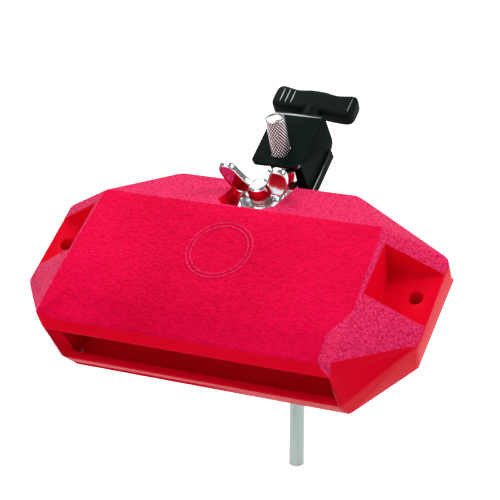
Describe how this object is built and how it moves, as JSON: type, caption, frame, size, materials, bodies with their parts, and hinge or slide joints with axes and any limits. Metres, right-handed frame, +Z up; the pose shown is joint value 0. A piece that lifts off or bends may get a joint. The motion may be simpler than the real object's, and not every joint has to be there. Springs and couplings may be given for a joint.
{
  "type": "jam block on a rod clamp",
  "caption": "Hollow moulded percussion block with a front sound slot and end ears, held by a wing nut to a T-handle clamp on a bent rod with a knurled end.",
  "frame": {"origin": "centre of the lower end of the rod's plain leg", "axes": "+Z up along the plain leg, +Y back, away from the sound slot, and +X to the right as seen from the slot's side"},
  "size_m": [0.244, 0.1866, 0.2354],
  "materials": {
    "red_plastic": "satin, finely stippled on the ends",
    "chrome": "polished",
    "knurled_chrome": "diamond knurled",
    "black_steel": "semi-gloss powder coat",
    "black_plastic": "satin",
    "zinc_steel": "zinc plated",
    "rubber_pad": "matt",
    "brass_insert": "turned"
  },
  "bodies": {
    "rod": {"mounting_rod": "chrome", "knurled_sleeve": "knurled_chrome", "rod_end_plug": "chrome"},
    "bush": {"rod_bush": "black_plastic"},
    "head": {"clamp_frame": "black_steel", "clamp_back": "black_steel", "handle_washer": "zinc_steel", "block_shell": "red_plastic", "base_cover": "red_plastic", "base_screws": "zinc_steel", "foot_pad": "rubber_pad", "foot_washer": "zinc_steel", "mount_bolt": "zinc_steel", "mount_plate": "chrome", "wing_nut_washer": "chrome"},
    "eye": {"eye_bolt": "chrome"},
    "handle": {"t_handle": "black_plastic", "handle_nut": "brass_insert"},
    "lift_washer": {"spring_washer": "zinc_steel"},
    "wing": {"wing_nut": "chrome"}
  },
  "joints": [
    {"name": "clamp_slide", "type": "slide", "parent": "rod", "child": "bush", "axis": [0, -0.3616, 0.9323], "range_m": [-0.022, 0.016]},
    {"name": "clamp_swivel", "type": "hinge", "parent": "bush", "child": "head", "pos_m": [0, -0.02531, 0.20826], "axis": [0, -0.3616, 0.9323], "continuous": true},
    {"name": "handle_turn", "type": "hinge", "parent": "head", "child": "handle", "pos_m": [0, 0.01039, 0.21594], "axis": [0, 0.8131, 0.5821], "range_deg": [0, 540]},
    {"name": "eye_slide", "type": "slide", "parent": "head", "child": "eye", "axis": [0, -0.8131, -0.5821], "range_m": [0, 0.0015]},
    {"name": "washer_lift", "type": "slide", "parent": "head", "child": "lift_washer", "axis": [0, -0.5821, 0.8131], "range_m": [0, 0.00375]},
    {"name": "wing_nut_turn", "type": "hinge", "parent": "lift_washer", "child": "wing", "pos_m": [0, -0.05129, 0.18905], "axis": [0, -0.5821, 0.8131], "range_deg": [0, 1080]}
  ],
  "couplings": [
    {"joint": "handle_turn", "follows": "eye_slide", "rad_per_m": 6283.2},
    {"joint": "wing_nut_turn", "follows": "washer_lift", "rad_per_m": 5026.5}
  ]
}
